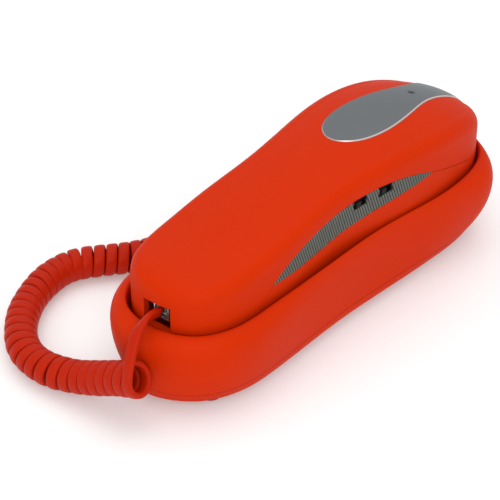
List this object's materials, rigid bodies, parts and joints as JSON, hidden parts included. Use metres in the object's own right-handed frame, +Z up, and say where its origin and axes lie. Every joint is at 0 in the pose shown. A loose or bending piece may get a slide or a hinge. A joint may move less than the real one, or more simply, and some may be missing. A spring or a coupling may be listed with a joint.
{
  "type": "slimline wall telephone",
  "caption": "Slim corded telephone: a cradle base for desk or wall, a lift-off handset with its keypad and side slide switches, and a curly handset cord.",
  "frame": {"origin": "middle of the base's footprint, on the table under the feet", "axes": "+X to the phone's right side (the side with the slide switches), +Y to the ear end, +Z up"},
  "size_m": [0.1226, 0.2147, 0.066],
  "materials": {
    "red_plastic": "fine satin moulding",
    "red_rubber": "matt",
    "grip_rubber": "fine ribbed, matt",
    "metallic_grey": "satin metallic lacquer",
    "smoked_lens": "polished",
    "black_plastic": "satin",
    "knob_plastic": "satin",
    "key_plastic": "satin",
    "clear_plastic": "clear moulding",
    "cord_vinyl": "soft satin vinyl",
    "steel": "zinc plated",
    "circuit_board": "solder mask",
    "gold_contact": "plated",
    "black_rubber": "matt",
    "aluminium_can": "bare"
  },
  "bodies": {
    "base": {"base_top_shell": "red_plastic", "base_bottom_cover": "red_plastic", "base_feet": "red_rubber", "base_screws": "steel", "base_ballast_plate": "steel", "base_socket_board": "circuit_board", "line_socket": "black_plastic", "line_socket_contacts": "gold_contact", "base_cord_socket": "black_plastic", "hanger_tab": "red_plastic", "base_cord_plug": "clear_plastic", "base_lead": "cord_vinyl", "cord_coil": "cord_vinyl", "handset_lead": "cord_vinyl"},
    "handset": {"handset_outer_shell": "red_plastic", "handset_inner_shell": "red_plastic", "ear_inlay": "metallic_grey", "indicator_lens": "smoked_lens", "indicator_lamp": "smoked_lens", "side_grip_right": "grip_rubber", "side_grip_left": "grip_rubber", "handset_screws": "steel", "main_board": "circuit_board", "keypad_rubber_sheet": "black_rubber", "handset_weight": "steel", "ringer_sounder": "black_plastic", "receiver_gasket": "black_rubber", "receiver_capsule": "black_plastic", "microphone_boot": "black_rubber", "microphone_capsule": "aluminium_can", "handset_socket": "black_plastic", "hook_switch": "black_plastic", "hook_spring": "steel", "slide_switch_bodies": "black_plastic", "handset_cord_plug": "clear_plastic"},
    "hook_plunger": {"hook_plunger": "black_plastic"},
    "key_1": {"key_1": "key_plastic"},
    "key_2": {"key_2": "key_plastic"},
    "key_3": {"key_3": "key_plastic"},
    "key_4": {"key_4": "key_plastic"},
    "key_5": {"key_5": "key_plastic"},
    "key_6": {"key_6": "key_plastic"},
    "key_7": {"key_7": "key_plastic"},
    "key_8": {"key_8": "key_plastic"},
    "key_9": {"key_9": "key_plastic"},
    "key_star": {"key_star": "key_plastic"},
    "key_0": {"key_0": "key_plastic"},
    "key_hash": {"key_hash": "key_plastic"},
    "key_mute": {"key_mute": "key_plastic"},
    "key_flash": {"key_flash": "key_plastic"},
    "key_redial": {"key_redial": "key_plastic"},
    "ringer_switch_knob": {"ringer_switch_knob": "knob_plastic"},
    "dial_mode_switch_knob": {"dial_mode_switch_knob": "knob_plastic"}
  },
  "joints": [
    {"name": "handset_lift", "type": "slide", "parent": "base", "child": "handset", "axis": [0, 0, 1], "range_m": [0, 0.06]},
    {"name": "hook_plunger_travel", "type": "slide", "parent": "handset", "child": "hook_plunger", "axis": [0, 0, -1], "range_m": [0, 0.0025], "deforming": ["hook_spring"]},
    {"name": "key_1_press", "type": "slide", "parent": "handset", "child": "key_1", "axis": [0, 0, 1], "range_m": [0, 0.0012], "stiffness_N_per_m": 400, "springref_m": -0.0005},
    {"name": "key_2_press", "type": "slide", "parent": "handset", "child": "key_2", "axis": [0, 0, 1], "range_m": [0, 0.0012], "stiffness_N_per_m": 400, "springref_m": -0.0005},
    {"name": "key_3_press", "type": "slide", "parent": "handset", "child": "key_3", "axis": [0, 0, 1], "range_m": [0, 0.0012], "stiffness_N_per_m": 400, "springref_m": -0.0005},
    {"name": "key_4_press", "type": "slide", "parent": "handset", "child": "key_4", "axis": [0, 0, 1], "range_m": [0, 0.0012], "stiffness_N_per_m": 400, "springref_m": -0.0005},
    {"name": "key_5_press", "type": "slide", "parent": "handset", "child": "key_5", "axis": [0, 0, 1], "range_m": [0, 0.0012], "stiffness_N_per_m": 400, "springref_m": -0.0005},
    {"name": "key_6_press", "type": "slide", "parent": "handset", "child": "key_6", "axis": [0, 0, 1], "range_m": [0, 0.0012], "stiffness_N_per_m": 400, "springref_m": -0.0005},
    {"name": "key_7_press", "type": "slide", "parent": "handset", "child": "key_7", "axis": [0, 0, 1], "range_m": [0, 0.0012], "stiffness_N_per_m": 400, "springref_m": -0.0005},
    {"name": "key_8_press", "type": "slide", "parent": "handset", "child": "key_8", "axis": [0, 0, 1], "range_m": [0, 0.0012], "stiffness_N_per_m": 400, "springref_m": -0.0005},
    {"name": "key_9_press", "type": "slide", "parent": "handset", "child": "key_9", "axis": [0, 0, 1], "range_m": [0, 0.0012], "stiffness_N_per_m": 400, "springref_m": -0.0005},
    {"name": "key_star_press", "type": "slide", "parent": "handset", "child": "key_star", "axis": [0, 0, 1], "range_m": [0, 0.0012], "stiffness_N_per_m": 400, "springref_m": -0.0005},
    {"name": "key_0_press", "type": "slide", "parent": "handset", "child": "key_0", "axis": [0, 0, 1], "range_m": [0, 0.0012], "stiffness_N_per_m": 400, "springref_m": -0.0005},
    {"name": "key_hash_press", "type": "slide", "parent": "handset", "child": "key_hash", "axis": [0, 0, 1], "range_m": [0, 0.0012], "stiffness_N_per_m": 400, "springref_m": -0.0005},
    {"name": "key_mute_press", "type": "slide", "parent": "handset", "child": "key_mute", "axis": [0, 0, 1], "range_m": [0, 0.0012], "stiffness_N_per_m": 400, "springref_m": -0.0005},
    {"name": "key_flash_press", "type": "slide", "parent": "handset", "child": "key_flash", "axis": [0, 0, 1], "range_m": [0, 0.0012], "stiffness_N_per_m": 400, "springref_m": -0.0005},
    {"name": "key_redial_press", "type": "slide", "parent": "handset", "child": "key_redial", "axis": [0, 0, 1], "range_m": [0, 0.0012], "stiffness_N_per_m": 400, "springref_m": -0.0005},
    {"name": "ringer_switch_slide", "type": "slide", "parent": "handset", "child": "ringer_switch_knob", "axis": [0, 1, 0], "range_m": [0, 0.003]},
    {"name": "dial_mode_switch_slide", "type": "slide", "parent": "handset", "child": "dial_mode_switch_knob", "axis": [0, 1, 0], "range_m": [0, 0.003]}
  ],
  "couplings": [
    {"joint": "hook_plunger_travel", "follows": "handset_lift", "ratio": 0.0416}
  ]
}
